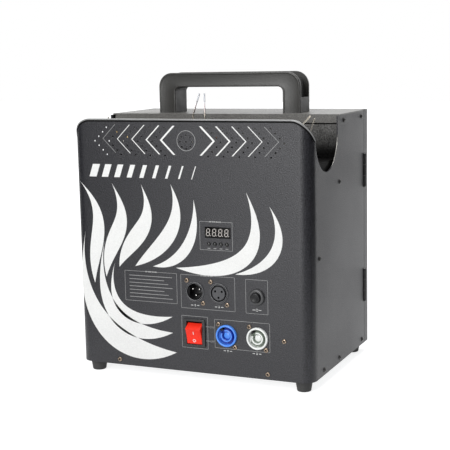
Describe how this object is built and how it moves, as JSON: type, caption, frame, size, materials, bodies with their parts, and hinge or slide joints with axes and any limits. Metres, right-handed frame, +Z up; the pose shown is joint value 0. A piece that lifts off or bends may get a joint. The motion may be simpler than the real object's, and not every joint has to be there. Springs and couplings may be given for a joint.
{
  "type": "stage flame machine",
  "caption": "Floor-standing steel box with a carrying handle that burns gas from cans behind its rear door at nozzles in an open trough behind its front cover.",
  "frame": {"origin": "middle of the overall box, on the floor under the rubber feet", "axes": "+X to the viewer's right seen from the front, +Y to the rear, +Z up"},
  "size_m": [0.2836, 0.2074, 0.334],
  "materials": {
    "case_paint": "fine-grained charcoal powder coat",
    "edge_trim": "grey satin edge bead",
    "zinc_sheet": "zinc-plated sheet",
    "burner_steel": "grey sheet dulled by heat",
    "handle_plastic": "satin moulded, dark olive grey",
    "handle_core_plastic": "matt moulded, near black",
    "foot_rubber": "matt",
    "screw_steel": "plated pan heads",
    "hinge_paint": "gloss black",
    "lock_metal": "plated",
    "valve_brass": "machined",
    "electrode_wire": "bright drawn wire",
    "spring_steel": "plated spring wire",
    "sleeve_ceramic": "unglazed white",
    "pipe_copper": "drawn copper tube",
    "coil_plastic": "moulded over the winding",
    "circuit_board": "lacquered board with parts",
    "potting_plastic": "potted block",
    "window_glass": "smoked clear",
    "key_plastic": "satin black",
    "socket_black": "moulded black",
    "socket_blue": "moulded blue",
    "socket_white": "moulded grey-white",
    "rocker_red": "translucent red"
  },
  "bodies": {
    "case": {"front_cover": "case_paint", "cover_edge_trim": "edge_trim", "left_side_panel": "case_paint", "right_side_panel": "case_paint", "base_tray": "zinc_sheet", "top_cover": "case_paint", "burner_trough": "burner_steel", "can_partition": "zinc_sheet", "valve_shelf": "zinc_sheet", "handle_front_plate": "handle_plastic", "handle_back_plate": "handle_plastic", "handle_core": "handle_core_plastic", "rubber_feet": "foot_rubber", "case_screws": "screw_steel", "hinge_fixed_leaves": "hinge_paint", "hinge_pins": "hinge_paint", "electrode_sleeves": "sleeve_ceramic", "nozzle_brackets": "burner_steel", "gas_pipes": "pipe_copper", "valve_coils": "coil_plastic", "can_seats": "valve_brass", "power_supply": "zinc_sheet", "control_board": "circuit_board", "ignition_modules": "potting_plastic", "display_window": "window_glass", "display_module": "circuit_board", "data_in_socket": "socket_black", "data_out_socket": "socket_black", "power_inlet": "socket_blue", "power_outlet": "socket_white", "breaker_body": "socket_black", "rocker_housing": "socket_black", "left_nozzle": "valve_brass", "left_electrodes": "electrode_wire", "left_valve_body": "valve_brass", "left_cradle_spring": "spring_steel", "centre_nozzle": "valve_brass", "centre_electrodes": "electrode_wire", "centre_valve_body": "valve_brass", "centre_cradle_spring": "spring_steel", "right_nozzle": "valve_brass", "right_electrodes": "electrode_wire", "right_valve_body": "valve_brass", "right_cradle_spring": "spring_steel"},
    "rear_door": {"rear_door": "case_paint", "hinge_door_leaves": "hinge_paint", "lock_barrel": "lock_metal"},
    "door_lock": {"lock_cam": "lock_metal"},
    "power_rocker": {"rocker": "rocker_red"},
    "reset_key": {"reset_button": "key_plastic"},
    "menu_key": {"menu_button": "key_plastic"},
    "down_key": {"down_button": "key_plastic"},
    "up_key": {"up_button": "key_plastic"},
    "enter_key": {"enter_button": "key_plastic"},
    "left_cradle": {"left_can_cradle": "zinc_sheet"},
    "left_plunger": {"left_valve_plunger": "electrode_wire"},
    "centre_cradle": {"centre_can_cradle": "zinc_sheet"},
    "centre_plunger": {"centre_valve_plunger": "electrode_wire"},
    "right_cradle": {"right_can_cradle": "zinc_sheet"},
    "right_plunger": {"right_valve_plunger": "electrode_wire"}
  },
  "joints": [
    {"name": "rear_door_swing", "type": "hinge", "parent": "case", "child": "rear_door", "pos_m": [0.1398, 0.08575, 0.15], "axis": [0, 0, -1], "range_deg": [0, 170]},
    {"name": "door_lock_turn", "type": "hinge", "parent": "rear_door", "child": "door_lock", "pos_m": [-0.1166, 0.09275, 0.15], "axis": [0, 1, 0], "range_deg": [0, 90]},
    {"name": "power_rocker_tilt", "type": "hinge", "parent": "case", "child": "power_rocker", "pos_m": [0.0042, -0.0884, 0.0564], "axis": [-1, 0, 0], "range_deg": [0, 32]},
    {"name": "reset_button_trip", "type": "slide", "parent": "case", "child": "reset_key", "axis": [0, -1, 0], "range_m": [0, 0.004]},
    {"name": "menu_button_press", "type": "slide", "parent": "case", "child": "menu_key", "axis": [0, 1, 0], "range_m": [0, 0.0006], "stiffness_N_per_m": 800, "springref_m": -0.0005},
    {"name": "down_button_press", "type": "slide", "parent": "case", "child": "down_key", "axis": [0, 1, 0], "range_m": [0, 0.0006], "stiffness_N_per_m": 800, "springref_m": -0.0005},
    {"name": "up_button_press", "type": "slide", "parent": "case", "child": "up_key", "axis": [0, 1, 0], "range_m": [0, 0.0006], "stiffness_N_per_m": 800, "springref_m": -0.0005},
    {"name": "enter_button_press", "type": "slide", "parent": "case", "child": "enter_key", "axis": [0, 1, 0], "range_m": [0, 0.0006], "stiffness_N_per_m": 800, "springref_m": -0.0005},
    {"name": "left_cradle_press", "type": "slide", "parent": "case", "child": "left_cradle", "axis": [0, 0, -1], "range_m": [0, 0.012], "stiffness_N_per_m": 1500, "springref_m": -0.002, "deforming": ["left_cradle_spring"]},
    {"name": "left_valve_lift", "type": "slide", "parent": "case", "child": "left_plunger", "axis": [0, 1, 0], "range_m": [0, 0.0015], "stiffness_N_per_m": 600, "springref_m": -0.001},
    {"name": "centre_cradle_press", "type": "slide", "parent": "case", "child": "centre_cradle", "axis": [0, 0, -1], "range_m": [0, 0.012], "stiffness_N_per_m": 1500, "springref_m": -0.002, "deforming": ["centre_cradle_spring"]},
    {"name": "centre_valve_lift", "type": "slide", "parent": "case", "child": "centre_plunger", "axis": [0, 1, 0], "range_m": [0, 0.0015], "stiffness_N_per_m": 600, "springref_m": -0.001},
    {"name": "right_cradle_press", "type": "slide", "parent": "case", "child": "right_cradle", "axis": [0, 0, -1], "range_m": [0, 0.012], "stiffness_N_per_m": 1500, "springref_m": -0.002, "deforming": ["right_cradle_spring"]},
    {"name": "right_valve_lift", "type": "slide", "parent": "case", "child": "right_plunger", "axis": [0, 1, 0], "range_m": [0, 0.0015], "stiffness_N_per_m": 600, "springref_m": -0.001}
  ]
}
